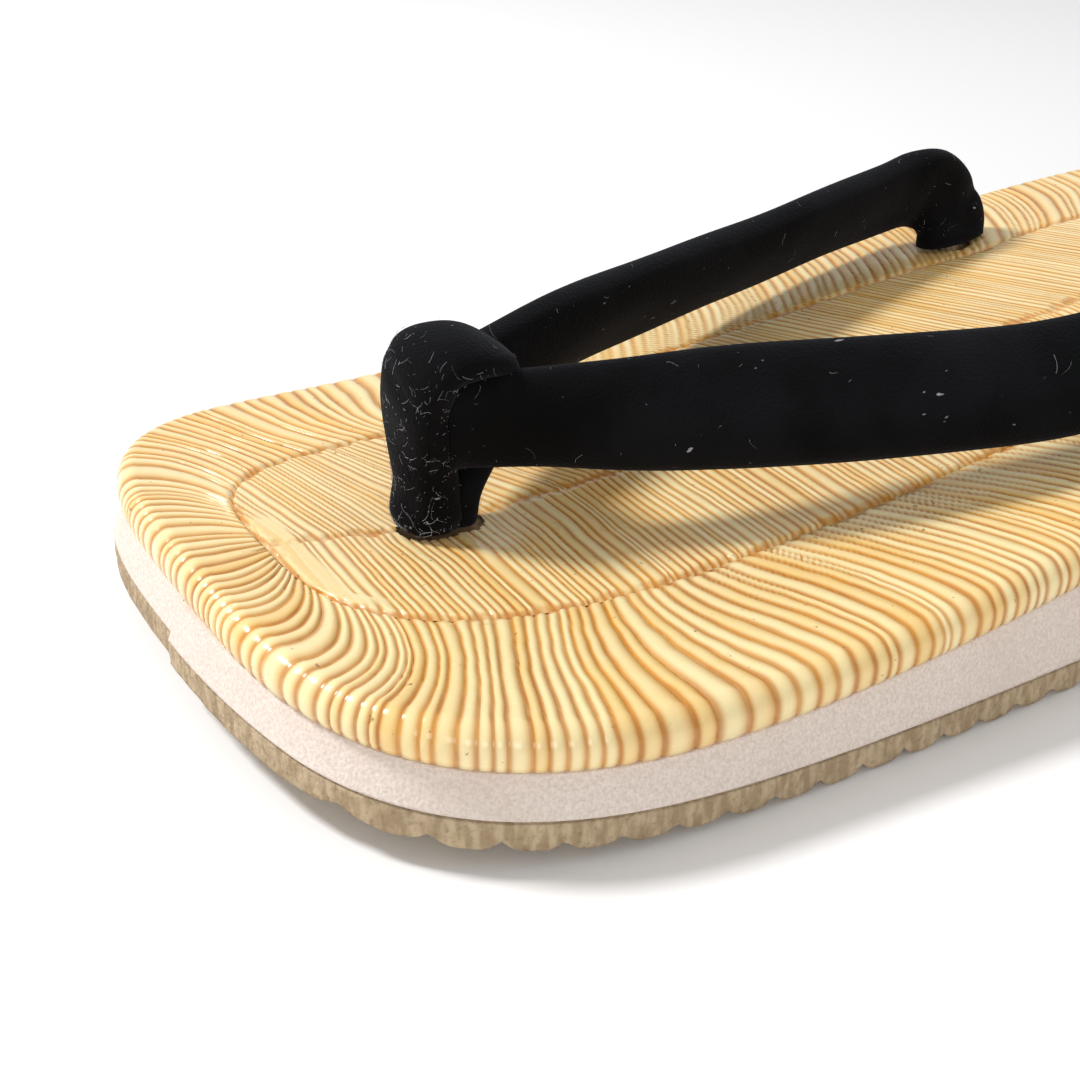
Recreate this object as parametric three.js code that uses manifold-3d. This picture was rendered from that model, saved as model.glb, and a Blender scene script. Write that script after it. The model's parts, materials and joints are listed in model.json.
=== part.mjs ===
// A thong sandal: a ripple-soled, wedge-heeled platform under a rimmed mat, with a padded fabric strap.
// Frame: millimetres, +Z up, toe towards -Y, heel towards +Y. The origin is on the ground, midway along
// the sandal. The strap is one soft assembly that is knotted under the mat at three holes.
import * as THREE from 'three';
import { mergeVertices } from 'three/addons/utils/BufferGeometryUtils.js';
import Module from 'manifold-3d';

const wasm = await Module();
wasm.setup();

// ---- driving dimensions ----------------------------------------------------------------------
const LENGTH = 265;            // heel to toe, over the mat
const BALL_HALF_WIDTH = 51;    // half the width at the ball of the foot
const WAIST_HALF_WIDTH = 47;   // half the width under the arch
const HEEL_HALF_WIDTH = 46;    // half the width at the heel
const TOE_CAP = 56;            // length of the rounded toe
const HEEL_CAP = 58;           // length of the rounded heel
const TOE_SQUARENESS = 3.5;   // exponent of the toe's superellipse
const HEEL_SQUARENESS = 2.6;   // exponent of the heel's superellipse
const WAIST_FROM_TOE = 165;    // where the sandal is narrowest

const OUTSOLE_THICKNESS = 3.4;
const MIDSOLE_THICKNESS = 4.6; // at the toe, where the wedge starts
const BOARD_THICKNESS = 3;
const MAT_SKIN = 1.5;
const HEEL_RISE = 16.7;          // how much thicker the wedge is at the heel
const WEDGE_START = 25;        // from the toe
const WEDGE_END = 215;         // from the toe
const TOE_SPRING = 4;          // how far the toe tip curls up off the ground
const TOE_SPRING_LENGTH = 60;

const MAT_CORNER_RADIUS = 2.6; // rounding of the mat's upper rim
const SOLE_FLARE = 0.9;        // the outsole stands this far outside the mat
const MIDSOLE_TUCK = 0.8;      // the top of the midsole stands this far inside the mat

const TREAD_PITCH = 6;
const TREAD_NOTCH_WIDTH = 3.2;
const TREAD_NOTCH_DEPTH = 1.2;

const SEAT_GAP = 0.3;          // between pieces that are glued, sewn or rest on each other
const SLIT_WIDTH = 0.8;        // cut in the toe of the sole, through which the toe knot is tied

const TOE_HOLE_FROM_TOE = 33.5;
const SIDE_HOLE_SPAN = 113;    // from the toe hole back to the side holes
const SIDE_HOLE_OFFSET = 32;   // from the sandal's middle line
const CORD_RADIUS = 1.9;
const CORD_HOLE_CLEARANCE = 1.4;
const TOE_CORD_SPACING = 5;    // between the two cord ends that go down the toe hole

const WASHER_RADIUS = 7;
const WASHER_THICKNESS = 1;
const POCKET_CLEARANCE = 1.2;
const KNOT_RADIUS = 5.8;
const KNOT_HEIGHT = 3.4;
const TOE_KNOT_DROP = 2;       // slack under the toe washer
const SIDE_KNOT_DROP = 0.6;    // slack under the side washers
const SIDE_KNOT_DEPTH = 3;     // free depth of the side pockets under the knots

const STRAP_WIDTH = 15;
const STRAP_THICKNESS = 8;
const STRAP_SQUARENESS = 2.3;  // exponent of the strap's section
const STRAP_SKIN = 0.8;        // velvet cover and lining
const SECTION_TURN = 22.5;     // degrees between the corners of the strap's section
const STRAP_END_SQUEEZE = 0.78; // the strap's section is drawn in where it goes into its side hole
const COVER_WRAP = 22;         // degrees by which the cover wraps under the strap's edges
const SEAM_OPENING = 10;        // degrees between the cover and the lining
const STRAP_STEPS = 16;
const JUNCTION_HEIGHT = 14.5;  // middle of the straps above the mat where they meet
const INSTEP_HEIGHT = 13.8;    // middle of the straps above the mat a third of the way back
const ARCH_HEIGHT = 10.4;      // middle of the straps above the mat two thirds of the way back
const FOLD_HEIGHT = 9;         // middle of the straps above the mat where they turn down
const LOOP_THICKNESS = 4.4;
const LOOP_WIDTH = 13;
const LOOP_LEG_WIDTH = 6;      // the rear leg, between the two straps
const LEG_CLEARANCE = 1;       // between the rear leg and the straps on both sides of it
const LOOP_SKIN = 1.1;         // at the strap's reference section, which the loop's section is scaled from
const LOOP_CLEARANCE = 0.6;
const LOOP_STEPS = 16;

const OUTLINE_STEPS = 4 * Math.round(LENGTH / 16);
const CIRCLE_STEPS = 12;

// ---- the sandal's plan -----------------------------------------------------------------------
const toeTip = -LENGTH / 2;
const toeHoleY = toeTip + TOE_HOLE_FROM_TOE;
const sideHoleY = toeHoleY + SIDE_HOLE_SPAN;
const { lerp, smoothstep, degToRad } = THREE.MathUtils;

// One side of the plan between its two round ends.
function halfWidth(y) {
  const ballY = toeTip + TOE_CAP;
  const waistY = toeTip + WAIST_FROM_TOE;
  const heelY = -toeTip - HEEL_CAP;
  const toWaist = lerp(BALL_HALF_WIDTH, WAIST_HALF_WIDTH, smoothstep(y, ballY, waistY));
  return toWaist + (HEEL_HALF_WIDTH - WAIST_HALF_WIDTH) * smoothstep(y, waistY, heelY);
}

// A quarter superellipse from the tip of a round end to its full width.
function roundEnd(tip, length, squareness, steps) {
  const points = [];
  for (let step = 0; step <= steps; step += 1) {
    const turn = (step / steps) * (Math.PI / 2);
    const along = length * (1 - Math.cos(turn) ** (2 / squareness));
    const y = tip + Math.sign(-tip) * along;
    points.push(new THREE.Vector2(halfWidth(y) * Math.sin(turn) ** (2 / squareness), y));
  }
  return points;
}

// The whole outline, anticlockwise from the tip of the toe, in even steps.
function outline() {
  const toe = roundEnd(toeTip, TOE_CAP, TOE_SQUARENESS, 16);
  const heel = roundEnd(-toeTip, HEEL_CAP, HEEL_SQUARENESS, 16).reverse();
  const side = [];
  const sideSteps = 8;
  const sideStart = toeTip + TOE_CAP;
  const sideEnd = -toeTip - HEEL_CAP;
  for (let step = 1; step < sideSteps; step += 1) {
    const y = lerp(sideStart, sideEnd, step / sideSteps);
    side.push(new THREE.Vector2(halfWidth(y), y));
  }
  const right = [...toe, ...side, ...heel];
  const left = right.slice(1, -1).reverse().map((point) => new THREE.Vector2(-point.x, point.y));
  const closed = new THREE.SplineCurve([...right, ...left, right[0]]);
  closed.arcLengthDivisions = 600;
  return closed.getSpacedPoints(OUTLINE_STEPS).slice(0, OUTLINE_STEPS);
}

const plan = outline();
const planNormals = plan.map((point, index) => {
  const before = plan[(index + OUTLINE_STEPS - 1) % OUTLINE_STEPS];
  const after = plan[(index + 1) % OUTLINE_STEPS];
  return new THREE.Vector2(after.y - before.y, before.x - after.x).normalize();
});

// ---- heights of the layers -------------------------------------------------------------------
function ground(y) {
  const curl = Math.max(0, toeTip + TOE_SPRING_LENGTH - y) / TOE_SPRING_LENGTH;
  return TOE_SPRING * Math.min(curl, 1) ** 2;
}

function wedge(y) {
  return HEEL_RISE * smoothstep(y, toeTip + WEDGE_START, toeTip + WEDGE_END);
}

const outsoleTop = (y) => ground(y) + OUTSOLE_THICKNESS;
const midsoleBottom = (y) => outsoleTop(y) + SEAT_GAP;
const midsoleTop = (y) => midsoleBottom(y) + MIDSOLE_THICKNESS + wedge(y);
const boardBottom = (y) => midsoleTop(y) + SEAT_GAP;
const boardTop = (y) => boardBottom(y) + BOARD_THICKNESS;
const matUnderside = (y) => boardTop(y) + SEAT_GAP;
const matTop = (y) => matUnderside(y) + MAT_SKIN;

function matSlope(y) {
  return Math.atan(matTop(y + 0.5) - matTop(y - 0.5));
}

// ---- solids ----------------------------------------------------------------------------------
function toSolid(geometry) {
  const bare = geometry.index ? geometry.clone() : geometry;
  bare.deleteAttribute('normal');
  bare.deleteAttribute('uv');
  const merged = mergeVertices(bare, 1e-4);
  return new wasm.Manifold(new wasm.Mesh({
    numProp: 3,
    vertProperties: new Float32Array(merged.attributes.position.array),
    triVerts: new Uint32Array(merged.index.array),
  }));
}

function toGeometry(solid) {
  const mesh = solid.getMesh();
  const geometry = new THREE.BufferGeometry();
  geometry.setAttribute('position', new THREE.BufferAttribute(new Float32Array(mesh.vertProperties), 3));
  geometry.setIndex(new THREE.BufferAttribute(new Uint32Array(mesh.triVerts), 1));
  geometry.computeVertexNormals();
  return geometry;
}

function moveVertices(geometry, place) {
  const position = geometry.attributes.position;
  const vertex = new THREE.Vector3();
  for (let index = 0; index < position.count; index += 1) {
    vertex.fromBufferAttribute(position, index);
    place(vertex, index);
    position.setXYZ(index, vertex.x, vertex.y, vertex.z);
  }
  return geometry;
}

// A layer of the sole: rings that follow the plan, from the middle of the underside, round the edge, to
// the middle of the top. reach is the ring's share of the plan's size, inset moves it in from the plan.
function layer(rings) {
  const profile = rings.map((ring, level) => new THREE.Vector2(ring.reach, level));
  const disc = new THREE.LatheGeometry(profile, OUTLINE_STEPS);
  moveVertices(disc, (vertex, index) => {
    const ring = rings[index % rings.length];
    const spoke = Math.floor(index / rings.length) % OUTLINE_STEPS;
    const edge = plan[spoke].clone().multiplyScalar(ring.reach);
    edge.addScaledVector(planNormals[spoke], -ring.inset);
    if (ring.reach === 0) {
      edge.set(0, 0);
    }
    vertex.set(edge.x, edge.y, ring.height(edge.y));
  });
  return toSolid(disc);
}

const MIDDLE_RINGS = [0, 0.17, 0.34, 0.5, 0.65, 0.79, 0.91];

// The rings of a broad face, from its middle outwards. They are the same in every layer.
function faceRings(height) {
  return MIDDLE_RINGS.map((reach) => ({ reach, inset: 0, height }));
}

function cylinder(radius, bottom, top, x, y) {
  const geometry = new THREE.CylinderGeometry(radius, radius, top - bottom, CIRCLE_STEPS);
  geometry.rotateX(Math.PI / 2);
  geometry.translate(x, y, (bottom + top) / 2);
  return toSolid(geometry);
}

// A slot with round ends, lying along Y and cut straight up.
function slot(radius, spacing, bottom, top, x, y) {
  const shape = new THREE.Shape();
  shape.absarc(0, spacing / 2, radius, 0, Math.PI);
  shape.absarc(0, -spacing / 2, radius, Math.PI, 2 * Math.PI);
  const geometry = new THREE.ExtrudeGeometry(shape, {
    depth: top - bottom, bevelEnabled: false, curveSegments: CIRCLE_STEPS / 2,
  });
  geometry.translate(x, y, bottom);
  return toSolid(geometry);
}

function box(width, depth, height, x, y, z) {
  const geometry = new THREE.BoxGeometry(width, depth, height);
  geometry.translate(x, y, z);
  return toSolid(geometry);
}

// ---- the three holes -------------------------------------------------------------------------
const holeRadius = CORD_RADIUS + CORD_HOLE_CLEARANCE;
const cutTop = matTop(sideHoleY) + 10;
const pocketRadius = WASHER_RADIUS + POCKET_CLEARANCE;

function cordHoles() {
  return slot(holeRadius, TOE_CORD_SPACING, -1, cutTop, 0, toeHoleY)
    .add(cylinder(holeRadius, -1, cutTop, SIDE_HOLE_OFFSET, sideHoleY))
    .add(cylinder(holeRadius, -1, cutTop, -SIDE_HOLE_OFFSET, sideHoleY));
}

const toeWasherBottom = midsoleTop(toeHoleY) - WASHER_THICKNESS;
const toeKnotTop = toeWasherBottom - TOE_KNOT_DROP;
const toeKnotBottom = toeKnotTop - KNOT_HEIGHT;
const sideWasherBottom = midsoleTop(sideHoleY) - WASHER_THICKNESS;
const sideKnotTop = sideWasherBottom - SIDE_KNOT_DROP - KNOT_RADIUS * Math.tan(matSlope(sideHoleY));
const sideKnotBottom = sideKnotTop - KNOT_HEIGHT;

function knotPockets() {
  const sideFloor = sideKnotBottom - SIDE_KNOT_DEPTH;
  return slot(pocketRadius, TOE_CORD_SPACING, toeKnotBottom - SEAT_GAP, cutTop, 0, toeHoleY)
    .add(cylinder(pocketRadius, sideFloor, cutTop, SIDE_HOLE_OFFSET, sideHoleY))
    .add(cylinder(pocketRadius, sideFloor, cutTop, -SIDE_HOLE_OFFSET, sideHoleY));
}

// The cut in the toe of the sole runs from its tip to the toe knot's pocket.
function toeSlit() {
  const start = toeTip - 10;
  const depth = toeHoleY - start;
  return box(SLIT_WIDTH, depth, cutTop, 0, start + depth / 2, cutTop / 2 - 1);
}

// ---- the sole --------------------------------------------------------------------------------
function treadNotches() {
  const count = Math.floor(LENGTH / TREAD_PITCH / 2) + 1;
  const reach = 2 * BALL_HALF_WIDTH + 20;
  let notches = null;
  for (let index = -count; index < count; index += 1) {
    const y = (index + 0.5) * TREAD_PITCH;
    const shape = new THREE.Shape();
    shape.moveTo(-TREAD_NOTCH_WIDTH / 2, -TREAD_NOTCH_DEPTH);
    shape.lineTo(TREAD_NOTCH_WIDTH / 2, -TREAD_NOTCH_DEPTH);
    shape.lineTo(TREAD_NOTCH_WIDTH / 2, 0);
    shape.lineTo(0, TREAD_NOTCH_DEPTH);
    shape.lineTo(-TREAD_NOTCH_WIDTH / 2, 0);
    const geometry = new THREE.ExtrudeGeometry(shape, { depth: reach, bevelEnabled: false });
    geometry.translate(0, 0, -reach / 2);
    geometry.rotateX(Math.PI / 2);
    geometry.rotateZ(Math.PI / 2);
    geometry.translate(0, y, ground(y));
    const notch = toSolid(geometry);
    notches = notches ? notches.add(notch) : notch;
  }
  return notches;
}

function outsole() {
  const under = faceRings(ground);
  const over = faceRings(outsoleTop).reverse();
  const edge = [
    { reach: 1, inset: -SOLE_FLARE, height: ground },
    { reach: 1, inset: -SOLE_FLARE, height: outsoleTop },
  ];
  return layer([...under, ...edge, ...over])
    .subtract(treadNotches())
    .subtract(toeSlit())
    .subtract(knotPockets());
}

function midsole() {
  const under = faceRings(midsoleBottom);
  const over = faceRings(midsoleTop).reverse();
  const edge = [
    { reach: 1, inset: -SOLE_FLARE, height: midsoleBottom },
    { reach: 1, inset: MIDSOLE_TUCK, height: midsoleTop },
  ];
  return layer([...under, ...edge, ...over])
    .subtract(toeSlit())
    .subtract(knotPockets());
}

function coreBoard() {
  const inset = MAT_SKIN + SEAT_GAP + MAT_CORNER_RADIUS / 2;
  const edge = [
    { reach: 1, inset, height: boardBottom },
    { reach: 1, inset, height: boardTop },
  ];
  const under = faceRings(boardBottom);
  const over = faceRings(boardTop).reverse();
  return layer([...under, ...edge, ...over]).subtract(cordHoles());
}

// The mat is a skin that covers the board and turns down over its edge as a rounded rim.
function topMat() {
  const inner = MAT_SKIN + MAT_CORNER_RADIUS / 2;
  const turns = 4;
  const corner = [];
  for (let step = 0; step <= turns; step += 1) {
    const turn = (step / turns) * (Math.PI / 2);
    const inset = MAT_CORNER_RADIUS * (1 - Math.cos(turn));
    const drop = MAT_CORNER_RADIUS * (1 - Math.sin(turn));
    corner.push({ reach: 1, inset, height: (y) => matTop(y) - drop });
  }
  return layer([
    ...faceRings(matUnderside),
    { reach: 1, inset: inner, height: matUnderside },
    { reach: 1, inset: inner, height: boardBottom },
    { reach: 1, inset: 0, height: boardBottom },
    ...corner,
    ...faceRings(matTop).reverse(),
  ]).subtract(cordHoles());
}

// ---- washers and knots -----------------------------------------------------------------------
// A disc round the cord, lying flat at the origin. spacing stretches it along Y for two cords.
function disc(radius, bore, spacing, thickness, rounding) {
  const stadium = (target, size) => {
    target.absarc(0, spacing / 2, size, 0, Math.PI);
    target.absarc(0, -spacing / 2, size, Math.PI, 2 * Math.PI);
    return target;
  };
  const shape = stadium(new THREE.Shape(), radius - rounding);
  shape.holes.push(stadium(new THREE.Path(), bore));
  const geometry = new THREE.ExtrudeGeometry(shape, {
    depth: thickness - 2 * rounding,
    bevelEnabled: rounding > 0,
    bevelThickness: rounding,
    bevelSize: rounding,
    bevelSegments: 2,
    curveSegments: CIRCLE_STEPS / 2,
  });
  geometry.translate(0, 0, rounding);
  return geometry;
}

function washer(x, y, bottom, spacing) {
  const geometry = disc(WASHER_RADIUS, CORD_RADIUS + 2 * SEAT_GAP, spacing, WASHER_THICKNESS, 0);
  geometry.rotateX(matSlope(y));
  geometry.translate(x, y, bottom);
  return toSolid(geometry);
}

function knot(x, y, bottom, spacing) {
  const rounding = KNOT_HEIGHT / 5;
  const bore = CORD_RADIUS * STRAP_END_SQUEEZE + SEAT_GAP + rounding;
  const geometry = disc(KNOT_RADIUS, bore, spacing, KNOT_HEIGHT, rounding);
  geometry.translate(x, y, bottom);
  return toSolid(geometry);
}

// ---- the strap -------------------------------------------------------------------------------
// A rail is a soft band's middle line: places above the mat, the way its face looks, and its section's
// width and thickness there.
function makeRail(stations) {
  const place = (station) => new THREE.Vector3(station.x, station.y, matTop(station.y) + station.above);
  const line = new THREE.CatmullRomCurve3(stations.map(place), false, 'centripetal');
  const faces = new THREE.CatmullRomCurve3(stations.map((station) => station.face.clone().normalize()));
  const sizes = new THREE.CatmullRomCurve3(
    stations.map((station) => new THREE.Vector3(station.width, station.thickness, 0)),
  );
  return { line, faces, sizes };
}

// Bends a straight bar, one unit long and drawn at the reference section, along a rail.
function bendAlong(rail, geometry, trimStart) {
  return moveVertices(geometry, (vertex) => {
    const along = vertex.z;
    const centre = rail.line.getPoint(along);
    const forward = rail.line.getTangent(along);
    const face = rail.faces.getPoint(along);
    face.addScaledVector(forward, -face.dot(forward)).normalize();
    const edge = new THREE.Vector3().crossVectors(face, forward);
    const size = rail.sizes.getPoint(along);
    centre.addScaledVector(edge, vertex.x * (size.x / STRAP_WIDTH));
    centre.addScaledVector(face, vertex.y * (size.y / STRAP_THICKNESS));
    const trimmed = along > 0.999 || (trimStart && along < 0.001);
    vertex.copy(centre);
    if (trimmed) {
      vertex.z = matTop(vertex.y) + SEAT_GAP;
    }
  });
}

// A point of the strap's section. Turn 90 is the middle of its face, 0 and 180 are its edges.
function sectionPoint(turnDegrees, depth) {
  const turn = degToRad(turnDegrees);
  const power = 2 / STRAP_SQUARENESS;
  const bulge = (value) => Math.sign(value) * Math.abs(value) ** power;
  return new THREE.Vector2(
    (STRAP_WIDTH / 2 - depth) * bulge(Math.cos(turn)),
    (STRAP_THICKNESS / 2 - depth) * bulge(Math.sin(turn)),
  );
}

// A stretch of the section with corners at the same turns at every depth, so that its layers lie parallel.
function sectionArc(from, to, depth) {
  const points = [sectionPoint(from, depth)];
  const firstCorner = (Math.floor(from / SECTION_TURN) + 1) * SECTION_TURN;
  for (let turn = firstCorner; turn < to; turn += SECTION_TURN) {
    points.push(sectionPoint(turn, depth));
  }
  points.push(sectionPoint(to, depth));
  return points;
}

function sectionLoop(depth) {
  return sectionArc(0, 360 - SECTION_TURN, depth);
}

function bar(shape, steps) {
  return new THREE.ExtrudeGeometry(shape, { depth: 1, steps, bevelEnabled: false, curveSegments: 4 });
}

// A strip of the strap's skin between two turns of its section.
function skinStrip(from, to) {
  const outer = sectionArc(from, to, 0);
  const inner = sectionArc(from, to, STRAP_SKIN).reverse();
  return new THREE.Shape([...outer, ...inner]);
}

function fillingSection() {
  const shape = new THREE.Shape(sectionLoop(STRAP_SKIN + SEAT_GAP * 1.8));
  const channel = new THREE.Path();
  channel.absarc(0, 0, CORD_RADIUS + SEAT_GAP * 1.5, 0, 2 * Math.PI);
  shape.holes.push(channel);
  return shape;
}

function cordSection(radius) {
  const shape = new THREE.Shape();
  shape.absarc(0, 0, radius, 0, 2 * Math.PI);
  return shape;
}

// The side strap of one side (1 right, -1 left): from the meeting point over the toe hole, up over the
// instep, then turned down on its edge into the side hole.
function strapRail(side) {
  const anchor = SIDE_HOLE_OFFSET;
  const face = (x, y, z) => new THREE.Vector3(side * x, y, z);
  const at = (x, y, above, facing, width, thickness) => ({
    x: side * x, y, above, face: facing, width, thickness,
  });
  const nearWidth = STRAP_WIDTH * 0.8;
  const nearThickness = STRAP_THICKNESS * 0.72;
  const besideMiddle = nearThickness / 2 + SEAT_GAP;
  const legThickness = STRAP_THICKNESS * 0.8;
  const besideLeg = (legThickness + LOOP_LEG_WIDTH) / 2 + LEG_CLEARANCE;
  const third = SIDE_HOLE_SPAN * 0.3;
  const backWidth = STRAP_WIDTH * 0.88;
  const foldWidth = STRAP_WIDTH * 0.8;
  const pinchWidth = STRAP_WIDTH * 0.72;
  return makeRail([
    at(besideMiddle, toeHoleY - 1, JUNCTION_HEIGHT, face(1, -0.1, 0), nearWidth, nearThickness),
    at(besideLeg, toeHoleY + 9, JUNCTION_HEIGHT, face(1, -0.3, 0.12), nearWidth, legThickness),
    at(anchor * 0.58, toeHoleY + third, INSTEP_HEIGHT, face(0.78, -0.2, 0.55), STRAP_WIDTH, STRAP_THICKNESS),
    at(anchor * 0.92, toeHoleY + third * 2, ARCH_HEIGHT, face(0.75, -0.1, 0.6), STRAP_WIDTH, STRAP_THICKNESS),
    at(anchor + 2.6, sideHoleY - 15, FOLD_HEIGHT + 0.8, face(0.8, 0, 0.5), backWidth, STRAP_THICKNESS),
    at(anchor + 2.4, sideHoleY - 4.5, FOLD_HEIGHT, face(1, 0, 0.25), foldWidth, STRAP_THICKNESS * 0.9),
    at(anchor + 1.1, sideHoleY, FOLD_HEIGHT * 0.45, face(1, 0, 0.1), pinchWidth, STRAP_THICKNESS * 0.84),
    at(anchor, sideHoleY, SEAT_GAP, face(1, 0, 0), foldWidth, STRAP_THICKNESS * STRAP_END_SQUEEZE),
  ]);
}


function strapCover(side) {
  const section = skinStrip(-COVER_WRAP, 180 + COVER_WRAP);
  return toSolid(bendAlong(strapRail(side), bar(section, STRAP_STEPS)));
}

function strapLining(side) {
  const section = skinStrip(180 + COVER_WRAP + SEAM_OPENING, 360 - COVER_WRAP - SEAM_OPENING);
  return toSolid(bendAlong(strapRail(side), bar(section, STRAP_STEPS)));
}

function strapFilling(side) {
  return toSolid(bendAlong(strapRail(side), bar(fillingSection(), STRAP_STEPS)));
}

function strapCord(side) {
  const inside = toSolid(bendAlong(strapRail(side), bar(cordSection(CORD_RADIUS), STRAP_STEPS)));
  const tailTop = matTop(sideHoleY) + 2 * SEAT_GAP;
  const tailRadius = CORD_RADIUS * STRAP_END_SQUEEZE;
  const tail = cylinder(tailRadius, sideKnotBottom, tailTop, side * SIDE_HOLE_OFFSET, sideHoleY);
  return inside.add(tail);
}

// The toe loop: up in front of the straps' meeting point, over it, and down between the straps.
function loopRail() {
  const front = new THREE.Vector3(0, -1, 0);
  const top = new THREE.Vector3(0, 0, 1);
  const rear = new THREE.Vector3(0, 1, 0);
  const between = (one, other) => one.clone().add(other);
  const at = (fromHole, above, face, width, thickness) => ({
    x: 0, y: toeHoleY + fromHole, above, face, width, thickness,
  });
  const legFront = -TOE_CORD_SPACING / 2 - 0.1;
  const legRear = TOE_CORD_SPACING / 2 + 0.1;
  const strapTop = JUNCTION_HEIGHT + STRAP_WIDTH * 0.39;
  const crown = strapTop + SEAT_GAP * 2 + LOOP_THICKNESS / 2;
  const thin = LOOP_THICKNESS * 0.96;
  return makeRail([
    at(legFront, SEAT_GAP, front, LOOP_WIDTH * 0.72, thin),
    at(legFront - 0.4, strapTop * 0.2, front, LOOP_WIDTH * 0.76, LOOP_THICKNESS),
    at(-5.2, strapTop * 0.5, front, LOOP_WIDTH, LOOP_THICKNESS),
    at(-6, strapTop * 0.85, front, LOOP_WIDTH, LOOP_THICKNESS),
    at(-3.6, crown - 0.4, between(front, top), LOOP_WIDTH, LOOP_THICKNESS),
    at(1.5, crown + 0.6, top, LOOP_WIDTH, LOOP_THICKNESS),
    at(6.6, crown - 0.8, between(top, rear), LOOP_WIDTH * 0.8, LOOP_THICKNESS * 0.9),
    at(8.4, strapTop * 0.86, rear, LOOP_LEG_WIDTH, LOOP_THICKNESS * 0.8),
    at(7.8, strapTop * 0.6, rear, LOOP_LEG_WIDTH, LOOP_THICKNESS * 0.8),
    at(4.4, strapTop * 0.22, rear, LOOP_LEG_WIDTH * 1.1, LOOP_THICKNESS * 0.9),
    at(legRear, SEAT_GAP, rear, LOOP_LEG_WIDTH * 1.3, thin),
  ]);
}


function loopCover() {
  const shape = new THREE.Shape(sectionLoop(0));
  shape.holes.push(new THREE.Path(sectionLoop(LOOP_SKIN)));
  return toSolid(bendAlong(loopRail(), bar(shape, LOOP_STEPS), true));
}

// The loop's core is a flat cord that fills the loop and goes down through the mat as two ends.
function loopCore() {
  const shape = new THREE.Shape(sectionLoop(LOOP_SKIN + LOOP_CLEARANCE));
  const band = toSolid(bendAlong(loopRail(), bar(shape, LOOP_STEPS), true));
  const tailTop = matTop(toeHoleY) + 2 * SEAT_GAP;
  const radius = LOOP_THICKNESS * 0.2;
  const offset = TOE_CORD_SPACING / 2 + 0.1;
  return band
    .add(cylinder(radius, toeKnotBottom, tailTop, 0, toeHoleY - offset))
    .add(cylinder(radius, toeKnotBottom, tailTop, 0, toeHoleY + offset));
}

// ---- assembly --------------------------------------------------------------------------------
const finishes = {
  mat: { color: 0xf0d59b, roughness: 0.3, metalness: 0 },
  board: { color: 0xb89b76, roughness: 0.9, metalness: 0 },
  midsole: { color: 0xe8d6c6, roughness: 0.85, metalness: 0 },
  outsole: { color: 0xb9a283, roughness: 0.9, metalness: 0 },
  washer: { color: 0x8c6a48, roughness: 0.8, metalness: 0 },
  velvet: { color: 0x0a0a0b, roughness: 0.95, metalness: 0 },
  lining: { color: 0x1a1a1c, roughness: 0.9, metalness: 0 },
  filling: { color: 0xe9e4da, roughness: 1, metalness: 0 },
  cord: { color: 0xc9b58f, roughness: 0.95, metalness: 0 },
};

const sandal = new THREE.Group();

function place(name, solid, finish) {
  const mesh = new THREE.Mesh(toGeometry(solid), new THREE.MeshStandardMaterial(finishes[finish]));
  mesh.name = name;
  sandal.add(mesh);
}

place('outsole', outsole(), 'outsole');
place('midsole', midsole(), 'midsole');
place('core_board', coreBoard(), 'board');
place('top_mat', topMat(), 'mat');
place('toe_washer', washer(0, toeHoleY, toeWasherBottom, TOE_CORD_SPACING), 'washer');
place('toe_knot', knot(0, toeHoleY, toeKnotBottom, TOE_CORD_SPACING), 'cord');
place('toe_loop_cover', loopCover(), 'velvet');
place('toe_loop_core', loopCore(), 'cord');

for (const [name, side] of [['right', 1], ['left', -1]]) {
  const x = side * SIDE_HOLE_OFFSET;
  place(`strap_cover_${name}`, strapCover(side), 'velvet');
  place(`strap_lining_${name}`, strapLining(side), 'lining');
  place(`strap_filling_${name}`, strapFilling(side), 'filling');
  place(`strap_cord_${name}`, strapCord(side), 'cord');
  place(`side_washer_${name}`, washer(x, sideHoleY, sideWasherBottom, 0), 'washer');
  place(`side_knot_${name}`, knot(x, sideHoleY, sideKnotBottom, 0), 'cord');
}

export default sandal;
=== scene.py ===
import json
import math

import bpy
import bmesh
import numpy as np
from mathutils import Matrix, Vector


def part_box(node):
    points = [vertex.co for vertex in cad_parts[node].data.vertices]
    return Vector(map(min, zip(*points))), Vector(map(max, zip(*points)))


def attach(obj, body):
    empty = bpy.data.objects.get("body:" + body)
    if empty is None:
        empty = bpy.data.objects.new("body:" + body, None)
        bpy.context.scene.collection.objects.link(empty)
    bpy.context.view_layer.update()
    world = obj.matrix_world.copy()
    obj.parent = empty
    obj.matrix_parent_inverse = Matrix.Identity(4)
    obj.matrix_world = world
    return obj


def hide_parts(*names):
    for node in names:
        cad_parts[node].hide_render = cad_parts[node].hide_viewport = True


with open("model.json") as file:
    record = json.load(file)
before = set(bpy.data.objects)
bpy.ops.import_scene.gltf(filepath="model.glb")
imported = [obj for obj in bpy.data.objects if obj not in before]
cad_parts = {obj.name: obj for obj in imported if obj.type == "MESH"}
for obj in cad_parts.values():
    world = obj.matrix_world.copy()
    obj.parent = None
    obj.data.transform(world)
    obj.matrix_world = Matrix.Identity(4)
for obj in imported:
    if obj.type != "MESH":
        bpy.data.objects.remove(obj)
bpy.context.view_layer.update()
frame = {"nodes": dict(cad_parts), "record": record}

MM = 0.001

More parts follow.
